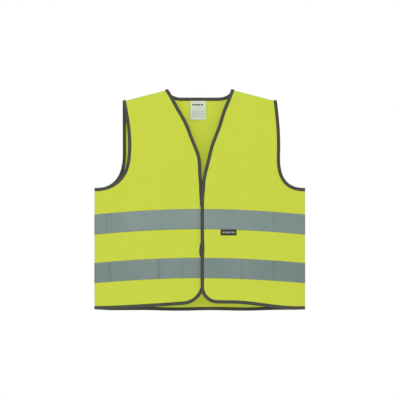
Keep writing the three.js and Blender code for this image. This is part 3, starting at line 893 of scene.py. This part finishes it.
def add_tape(name, side, hand, level, across, z, front=None):
    """A thin sheet 0.3 to 0.8 mm above the cloth, its long edges pressed down."""
    part = np.linspace(0, 1, z.shape[0])[:, None]
    edge = np.minimum(part, 1 - part) * tape_width
    press = 0.00025 * (1 - smooth(edge / 0.0016))
    tape_face = 0.0008
    tape_back = 0.00028
    x = hand * across
    uv = np.stack([x, z], axis=-1)
    # Where painted shade darkens the tape along its creases.
    crease = np.zeros(x.shape)
    for where, slant, strength, width in tape_crease_shade[level]:
        off = x * -side - where - slant * (part - 0.5) * tape_width
        crease = crease + strength * np.exp(-((off / width) ** 2))
    pinch = seam_pinch(across, z)
    outer = on_cloth(side, hand, across, z, tape_face - press, front, pinch)
    inner = on_cloth(side, hand, across, z, tape_back, front, pinch)
    tape = add_sheet(name, outer, inner, grey_tapes[level], uv, crease)
    return tape


for level, drop in tape_drops.items():
    top = -armhole_depth - drop
    across = np.linspace(-half_width, half_width, 300)[None, :]
    z = np.linspace(top, top - tape_width, 22)[:, None]
    across, z = np.broadcast_arrays(across, z)
    back_tape = add_tape(f"back_{level}_band", 1, 1, level, across, z)
    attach(back_tape, "root")
    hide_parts(f"back_{level}_tape")
    for label, front in fronts.items():
        hand = front["hand"]
        down = np.linspace(0, tape_width, 22)[:, None]
        edge_z = top + front_arch - down
        start = front_edge(front, edge_z)[:, 0] + 0.0010
        across = fold_columns(front, start, np.full(22, half_width), edge_z[:, 0])
        z = top + arch(across) - down
        band = add_tape(f"{label}_front_{level}_band", -1, hand, level, across, z, front)
        fold_blend(band, front)
        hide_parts(f"{label}_front_{level}_tape", f"{label}_front_side_{level}_tape")

# ---------------------------------------------------------------- hook and loop closure
# Two pairs of grey touch strips. The hooks are sewn inside the left front's edge and face in,
# and the loops are sewn outside the right front's edge and face out.

strip_width = 0.009
strip_length = 0.048
strip_base = 0.00032  # thickness of the woven base


def plain_material(name, colour, roughness=0.8, sheen=0.0):
    """One colour with a fine mottle in the object's own coordinates."""
    material, tree, shader, where = start_material(name, roughness, sheen, 0.3, "object")
    mottle = tree.nodes.new("ShaderNodeTexNoise")
    mottle.inputs["Scale"].default_value = 900
    tree.links.new(where, mottle.inputs["Vector"])
    tint(tree, shader, colour, add_math(tree, "MULTIPLY_ADD", mottle.outputs[0], 0.30, 0.85))
    raise_bump(tree, shader, mottle.outputs[0], 0.00005)
    return material


def swept(path, width):
    """A square bar of the given width along a flat path of (along, up) points: its vertices
    in (along, side, up) and its quads, ends included."""
    path = np.asarray(path, float)
    run = unit(np.gradient(path, axis=0))
    corners = np.array([(1, 1), (1, -1), (-1, -1), (-1, 1)]) * width / 2
    along = path[:, :1] - run[:, 1:] * corners[:, 0]
    up = path[:, 1:] + run[:, :1] * corners[:, 0]
    side = np.broadcast_to(corners[:, 1], along.shape)
    vertices = np.stack([along, side, up], axis=-1).reshape(-1, 3)
    index, quads = ring_quads(len(path), 4)
    quads = np.concatenate([quads, index[:1, ::-1], index[-1:]])
    return vertices, turned_out(vertices, quads)


def scatter(name, shape, centre, along, up, material):
    """Copies of one small closed shape in one mesh, each at a centre with its own along and
    up directions."""
    vertices, quads = shape
    side = unit(np.cross(up, along))
    up = np.cross(along, side)
    axes = np.stack([along, side, up], axis=1)
    placed = centre[:, None, :] + np.einsum("vi,nij->nvj", vertices, axes)
    shifted = quads[None, :, :] + (np.arange(len(centre)) * len(vertices))[:, None, None]
    faces = turned_out(placed, shifted.reshape(-1, quads.shape[1]))
    return new_piece(name, placed, faces.tolist(), material)


look_ahead = 0.0004  # step over which a direction on the cloth is taken
strip_cloth = plain_material("grey strip weave", (0.075, 0.078, 0.070), 0.85)
hook_plastic = plain_material("hook monofilament", (0.11, 0.115, 0.105), 0.4)
loop_fluff = plain_material("loop pile", (0.095, 0.098, 0.088), 0.95, 0.4)
hook_path = [(0, -1e-4), (0, 2.4e-4), (5e-5, 4.0e-4), (1.6e-4, 4.6e-4), (2.6e-4, 4.2e-4)]
loop_turn = np.linspace(0, np.pi, 7)
loop_path = np.stack([-2.4e-4 * np.cos(loop_turn), 4.4e-4 * np.sin(loop_turn) - 3e-5], axis=1)
# A strip's face is the height, over the cloth's outer face, of the side that is sewn on.
strips = {
    "left": dict(kind="hook", face=-0.0017, shape=swept(hook_path, 1.1e-4),
                 paint=hook_plastic, rows=54, columns=9, loose=0.00003),
    "right": dict(kind="loop", face=0.00145, shape=swept(loop_path, 7e-5),
                  paint=loop_fluff, rows=62, columns=11, loose=0.00022),
}
grip_random = np.random.default_rng(5)


def strip_top(level):
    """Height of a strip's top edge, 1 mm below the top edge of its tape at the centre."""
    return -armhole_depth - tape_drops[level] + front_arch - 0.001


def add_strip(level, label, kind, face, shape, paint, rows, columns, loose):
    """A strip's base, and its hooks or loops on an even grid, each moved a little at random.
    Loops are also turned at random."""
    front = fronts[label]
    hand = front["hand"]
    outside = face - hand * strip_base
    across = front["edge"] + np.linspace(0, strip_width, 10)[None, :]
    z = strip_top(level) - np.linspace(0, strip_length, 40)[:, None]
    across, z = np.broadcast_arrays(across, z)
    top = on_cloth(-1, hand, across, z, outside, front)
    foot = on_cloth(-1, hand, across, z, face, front)
    uv = np.stack([across, z], axis=-1)
    strip = add_sheet(f"{level}_{kind}_tape", top, foot, strip_cloth, uv)
    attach(strip, f"{label}_front")
    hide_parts(f"{level}_{kind}_strip")
    margin = 0.0007
    end_margin = 0.0010
    inside = (strip_width - 2 * margin) * np.linspace(0, 1, columns)
    down = (strip_length - 2 * end_margin) * np.linspace(0, 1, rows)
    across, z = np.meshgrid(front["edge"] + margin + inside, strip_top(level) - end_margin - down)
    across = across.ravel() + grip_random.uniform(-loose, loose, rows * columns)
    z = z.ravel() + grip_random.uniform(-loose, loose, rows * columns)
    centre = on_cloth(-1, hand, across, z, outside, front)
    along = unit(on_cloth(-1, hand, across, z + look_ahead, outside, front) - centre)
    up = unit(on_cloth(-1, hand, across, z, outside + look_ahead, front) - centre) * -hand
    if kind == "loop":
        yaw = grip_random.uniform(0, 2 * np.pi, (len(centre), 1))
        along = along * np.cos(yaw) + np.cross(up, along) * np.sin(yaw)
    grips = scatter(f"{level}_{kind}s", shape, centre, along, up, paint)
    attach(grips, f"{label}_front")


for level in tape_drops:
    for label, strip in strips.items():
        add_strip(level, label, **strip)

# ---------------------------------------------------------------- care label
# White satin label, sewn by its top edge inside the back neck and free below. It carries only
# generic marks: four heading blocks, empty squares and lines of grey dashes.

label_low, label_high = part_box("care_label")
label_middle = (label_low[0] + label_high[0]) / 2
label_width = label_high[0] - label_low[0]
label_length = label_high[2] - label_low[2]
label_front = label_low[1]


def satin_material(name, colour, roughness):
    """Woven satin: very fine threads across, as tone and bump."""
    material, tree, shader, plan = start_material(name, roughness, sheen=0.2)
    thread = add_ribs(tree, plan, 0.00045)[1]
    tone = patch_and_crease_tone(material, plan, 0.02, 0.05, 0.0)
    fine = add_math(tree, "MULTIPLY_ADD", thread, 0.06, 0.95)
    tint(tree, shader, colour, fine, tone)
    raise_bump(tree, shader, thread, 0.00006)
    return material


white_satin = satin_material("white satin", (0.54, 0.60, 0.49), 0.55)
black_satin = satin_material("black satin", (0.016, 0.021, 0.019), 0.6)
dark_print = plain_material("dark print", (0.035, 0.045, 0.050), 0.7)
grey_print = plain_material("grey print", (0.34, 0.38, 0.35), 0.7)
pale_thread = plain_material("pale woven thread", (0.36, 0.40, 0.37), 0.7)


def label_surface(across, down, height):
    """Points on the hanging care label: flat at its sewn top, curling up to 0.5 mm off the
    back at its foot as the square of the drop."""
    part = down / label_length
    curl = 0.0005 * part**2 * np.cos(across / label_width * 3.0 + 0.6)
    depth = label_front + 0.00002 - curl - height
    return np.stack(
        np.broadcast_arrays(label_middle + across, depth, label_high[2] - down), axis=-1
    )


def add_prisms(name, first, last, material):
    """Small closed four-sided shapes in one mesh, each between two rings of four points."""
    vertices = np.concatenate([first, last], axis=1)
    faces = np.array([
        (0, 1, 2, 3), (7, 6, 5, 4), (0, 4, 5, 1), (1, 5, 6, 2), (2, 6, 7, 3), (3, 7, 4, 0),
    ])
    faces = faces[None] + (np.arange(len(vertices)) * 8)[:, None, None]
    faces = turned_out(vertices, faces.reshape(-1, 4))
    return new_piece(name, vertices, faces.tolist(), material)


def add_marks(name, label, boxes, surface, material):
    """Printed or woven patches, 0.04 mm proud of a label: each is (across, down, width,
    length)."""
    corner = np.array([(-1, -1), (1, -1), (1, 1), (-1, 1)]) / 2
    boxes = np.asarray(boxes, float)
    across = boxes[:, 0:1] + boxes[:, 2:3] * corner[None, :, 0]
    down = boxes[:, 1:2] + boxes[:, 3:4] * corner[None, :, 1]
    marks = add_prisms(
        name, surface(across, down, 0.00004), surface(across, down, -0.00002), material
    )
    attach(marks, f"{label}_leaf")


def add_label(name, surface, size, thickness, satin, rows, columns):
    """A label as a thin sheet under its surface of (across, down), on a body of its own."""
    width, length = size
    across = width * np.linspace(-0.5, 0.5, columns)[None, :]
    down = length * np.linspace(0, 1, rows)[:, None]
    across, down = np.broadcast_arrays(across, down)
    label = add_sheet(
        f"{name}_satin", surface(across, down, 0.0), surface(across, down, -thickness),
        satin, np.stack([across, down], axis=-1),
    )
    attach(label, f"{name}_leaf")
    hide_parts(name)


add_label(
    "care_label", label_surface, (label_width, label_length), 0.0003, white_satin, 28, 24,
)

print_random = np.random.default_rng(11)
heading = [(a, 0.0098, 0.0052, 0.0037) for a in (-0.0114, -0.0043, 0.0020, 0.0092)]
symbols = []
for number, middle in enumerate(np.linspace(-0.0105, 0.0070, 4)):
    symbols += [
        (middle, 0.0187, 0.0026, 0.0003),
        (middle - 0.0013, 0.0174, 0.0003, 0.0026),
        (middle + 0.0013, 0.0174, 0.0003, 0.0026),
        (middle, 0.0174 - 0.0004 * number, 0.0014, 0.0003),
    ]
lines = []
word_gap = 0.0008
for number in range(11):
    down_here = 0.0240 + number * 0.00175
    start = -0.0150
    stop = 0.0145 if number % 4 != 3 else 0.0030
    while start < stop:
        word = print_random.uniform(0.0015, 0.0046)
        lines.append((start + word / 2, down_here, word, 0.00075))
        start = start + word + word_gap
for name, boxes, paint in (
    ("care_label_heading", heading, dark_print),
    ("care_label_symbols", symbols, grey_print),
    ("care_label_lines", lines, grey_print),
):
    add_marks(name, "care_label", boxes, label_surface, paint)

# ---------------------------------------------------------------- woven label
# Small black satin tag below the upper tape on the left front, sewn by its top edge. A pale
# woven row of plain bars stands in for lettering.

tag_low, tag_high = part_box("woven_label")
tag_width = tag_high[0] - tag_low[0]
tag_length = 0.0145
tag_middle = (tag_low[0] + tag_high[0]) / 2
tag_top = tag_high[2]


def tag_surface(across, down, height):
    """Points on the tag's face: 0.7 mm over the left front's cloth, 1.1 mm at its foot."""
    height = height + 0.00072 + 0.0004 * (down / tag_length) ** 2
    return on_cloth(-1, 1, tag_middle + across, tag_top - down, height, fronts["left"])


add_label(
    "woven_label", tag_surface, (tag_width, tag_length), 0.0004, black_satin, 14, 28,
)
bar_at = np.array([-14.2, -11.6, -9.3, -5.7, -3.2, -0.3, 3.1, 5.4, 8.9, 11.3, 14.3]) * 1e-3
bar_wide = np.array([1.5, 2.0, 1.2, 2.1, 1.3, 2.2, 1.6, 1.2, 2.1, 1.5, 1.9]) * 1e-3
bars = [(a, 0.0072, w, 0.0040) for a, w in zip(bar_at, bar_wide)]
add_marks("woven_label_bars", "woven_label", bars, tag_surface, pale_thread)

# ---------------------------------------------------------------- seam allowances
# Inside each shoulder and side seam, both raw edges of the cloth stand together, 8 mm wide,
# closed with a plain seam and wrapped with pale overlock thread.

allowance = 0.008
seam_step = 0.003  # spacing of the points along a seam
thread_half = 0.00013
overlock_thread = plain_material("pale green thread", (0.50, 0.60, 0.16), 0.75)


def standing_seam(name, inner_points, outer_points, replaced):
    """Two cloth layers from the seam line to the raw edge, and the overlock thread that zigs
    along one face, over the edge and back along the other."""
    part = np.linspace(0, 1, 9)[:, None, None]
    grid = mix(outer_points[None], inner_points[None], part)
    ripple = 0.00018 * np.sin(np.arange(grid.shape[1]) * 0.9)[None, :, None] * part
    lay = np.array([0.0, 1.0, 0.0])
    along_seam = np.arange(grid.shape[1]) * seam_step
    flat = np.stack(np.broadcast_arrays(part[..., 0] * allowance, along_seam), axis=-1)
    for number, (near, far) in enumerate(((0.00058, 0.00006), (-0.00006, -0.00058))):
        layer = add_sheet(
            f"{name}_layer_{number + 1}", grid + lay * (near + ripple),
            grid + lay * (far + ripple), yellow_cloth, flat,
        )
        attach(layer, "root")
        if number == 0:
            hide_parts(replaced)
    steps = np.arange(0, grid.shape[1] - 1, 0.55)
    beat = np.arange(len(steps)) % 4
    reach = np.array([0.42, 1.03, 0.42, 1.03])[beat]
    depth = np.array([0.00072, 0.00030, -0.00072, -0.00030])[beat]
    whole = np.arange(grid.shape[1])
    raw_edge = np.stack([np.interp(steps, whole, value) for value in inner_points.T], axis=1)
    seam_line = np.stack([np.interp(steps, whole, value) for value in outer_points.T], axis=1)
    path = mix(seam_line, raw_edge, reach[:, None]) + depth[:, None] * lay
    centre = (path[1:] + path[:-1]) / 2
    span = path[1:] - path[:-1]
    along = unit(span)
    first = unit(np.cross(along, np.broadcast_to([0.13, 0.72, 0.31], span.shape)))
    second = np.cross(along, first)
    turn = np.arange(4)[None, :, None] * np.pi / 2
    ring = thread_half * (np.cos(turn) * first[:, None] + np.sin(turn) * second[:, None])
    tail = (centre - span * 0.52)[:, None] + ring
    head = (centre + span * 0.52)[:, None] + ring
    thread = add_prisms(f"{name}_overlock", tail, head, overlock_thread)
    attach(thread, "root")


for label, front in fronts.items():
    hand = front["hand"]
    across = np.arange(0.0868, 0.1844, seam_step)
    level = shoulder_line(across) - 0.0006
    top = np.stack([hand * across, np.zeros(len(across)), level], axis=1)
    foot = top - np.array([0, 0, allowance])
    standing_seam(f"{label}_shoulder_allowance", foot, top, f"{label}_shoulder_seam")
    z = -np.arange(0.2562, 0.5400, seam_step)
    outer = np.stack([np.full(len(z), hand * 0.2624), np.zeros(len(z)), z], axis=1)
    inner = outer - np.array([hand * allowance, 0, 0])
    standing_seam(f"{label}_side_allowance", inner, outer, f"{label}_side_seam")

# ---------------------------------------------------------------- stitching
# Rows of lockstitch: dark thread along every binding and the black tag, grey along both edges
# of each tape and round the strips, white along the care label. A stitch is a closed lozenge.

stitch_pitch = 0.0029
stitch_half_width = 0.00024
stitch_half_height = 0.00019
dark_thread = plain_material("dark thread", (0.050, 0.050, 0.044), 0.7)
grey_thread = plain_material("grey thread", (0.33, 0.38, 0.35), 0.7)
white_thread = plain_material("white thread", (0.78, 0.80, 0.76), 0.7)
around = np.linspace(0, 2 * np.pi, 7)[None, :-1]
ring_at = np.array([-0.00122, -0.0007, 0, 0.0007, 0.00122])[:, None]
ring_size = np.array([0.15, 0.9, 1.0, 0.9, 0.15])[:, None]
ring_lift = np.array([-0.00022, 0.0, 0.00005, 0.0, -0.00022])[:, None]
stitch_points = np.stack(np.broadcast_arrays(
    ring_at,
    stitch_half_width * ring_size * np.cos(around),
    ring_lift + stitch_half_height * ring_size * np.sin(around),
), axis=-1).reshape(-1, 3)
stitch_index, stitch_quads = ring_quads(5, 6)
start = stitch_index[0][[[3, 2, 1, 0], [5, 4, 3, 0]]]
end = stitch_index[-1][[[0, 1, 2, 3], [0, 3, 4, 5]]]
stitch_quads = np.concatenate([stitch_quads, start, end])
stitch_shape = (stitch_points, turned_out(stitch_points, stitch_quads))


def add_stitches(name, rows, thread):
    """One mesh of stitches along rows on the cloth. Each row is (side, hand, across, z,
    height, front); a negative height lies on the inside."""
    placed = []
    for side, hand, across, z, height, front in rows:
        row = (across, z, np.broadcast_to(height, across.shape))
        run = run_length(on_cloth(side, hand, *row, front))
        at = np.arange(stitch_pitch / 2, run[-1], stitch_pitch)

        def points(shift, lift=0.0):
            here = [np.interp(at + shift, run, value) for value in row]
            return on_cloth(side, hand, here[0], here[1], here[2] + lift, front)

        outward = np.where(np.interp(at, run, row[2]) < 0, -1, 1)[:, None]
        along = unit(points(look_ahead) - points(-look_ahead))
        up = unit(points(0.0, look_ahead) - points(0.0)) * outward
        placed.append((points(0.0), along, up))
    return scatter(name, stitch_shape, *(np.concatenate(part) for part in zip(*placed)), thread)


def inset(across, z, turn, distance):
    """A path moved square to itself on the plan."""
    into_across, into_z = plan_inward(across, z, turn)
    return across + into_across * distance, z + into_z * distance


seam_inset = 0.0056  # from the cloth's edge to the row along a binding
both_faces = (0.00060, -0.00120)  # heights of the binding's outer and inner faces
root_rows = []
for label, front in fronts.items():
    hand = front["hand"]
    for side in (-1, 1):
        path = inset(*armhole_edge(side, hand, armhole_points), -1, seam_inset)
        for height in both_faces:
            root_rows.append((side, hand, path[0][2:-2], path[1][2:-2], height, None))
path = inset(*neck_path(40, 30), 1, seam_inset)
for height in both_faces:
    for hand in (-1, 1):
        root_rows.append((1, hand, path[0][6:], path[1][6:], height, None))
    hem_across = np.linspace(-0.259, 0.259, 220)
    root_rows.append((1, 1, hem_across, back_hem_edge(hem_across) + seam_inset, height, None))
root_stitches = add_stitches("neck_armhole_and_back_hem_stitches", root_rows, dark_thread)
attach(root_stitches, "root")

tape_rows = (0.0028, tape_width - 0.0028)  # below the tape's top edge
tape_faces = (0.00082, -0.00062)  # heights of the tape's face and of the cloth's inner face
tape_reach = 0.2565
binding_clear = 0.0085
back_rows = []
for drop in tape_drops.values():
    for down in tape_rows:
        level = np.full(220, -armhole_depth - drop - down)
        across = np.linspace(-tape_reach, tape_reach, 220)
        for height in tape_faces:
            back_rows.append((1, 1, across, level, height, None))
back_stitches = add_stitches("back_tape_stitches", back_rows, grey_thread)
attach(back_stitches, "root")

for label, front in fronts.items():
    hand = front["hand"]
    across, z = (value[4:-3] for value in inset(*edge_and_hem(front), 1, seam_inset))
    rows = [
        (-1, hand, across, z, both_faces[0] + tape_step(z), front),
        (-1, hand, across, z, both_faces[1], front),
    ]
    edge_stitches = add_stitches(f"{label}_front_edge_stitches", rows, dark_thread)
    fold_blend(edge_stitches, front)
    rows = []
    for drop in tape_drops.values():
        for down in tape_rows:
            top = -armhole_depth - drop - down
            start = front_edge(front, np.array([top + front_arch]))[0] + binding_clear
            across = np.linspace(start, tape_reach, 110)
            for height in tape_faces:
                rows.append((-1, hand, across, top + arch(across), height, front))
    outside = strips[label]["face"] - hand * (strip_base + 0.0001)
    for level in tape_drops:
        ends = strip_top(level) - np.array([0.0007, strip_length - 0.0007])
        sides = front["edge"] + np.array([0.0006, strip_width - 0.0006])
        for at in sides:
            rows.append((-1, hand, np.full(40, at), np.linspace(*ends, 40), outside, front))
        for at in ends:
            rows.append((-1, hand, np.linspace(*sides, 12), np.full(12, at), outside, front))
    band_stitches = add_stitches(f"{label}_front_tape_stitches", rows, grey_thread)
    fold_blend(band_stitches, front)

for label, surface, down, thread in (
    ("care_label", label_surface, 0.0022, white_thread),
    ("woven_label", tag_surface, 0.0026, dark_thread),
):
    at = np.arange(-0.0180, 0.0181, stitch_pitch)  # across 36 mm of the label's top edge
    stitches = scatter(
        f"{label}_stitches", stitch_shape, surface(at, np.full(len(at), down), 0.0),
        np.tile([1.0, 0.0, 0.0], (len(at), 1)), np.tile([0.0, -1.0, 0.0], (len(at), 1)), thread,
    )
    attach(stitches, f"{label}_leaf")
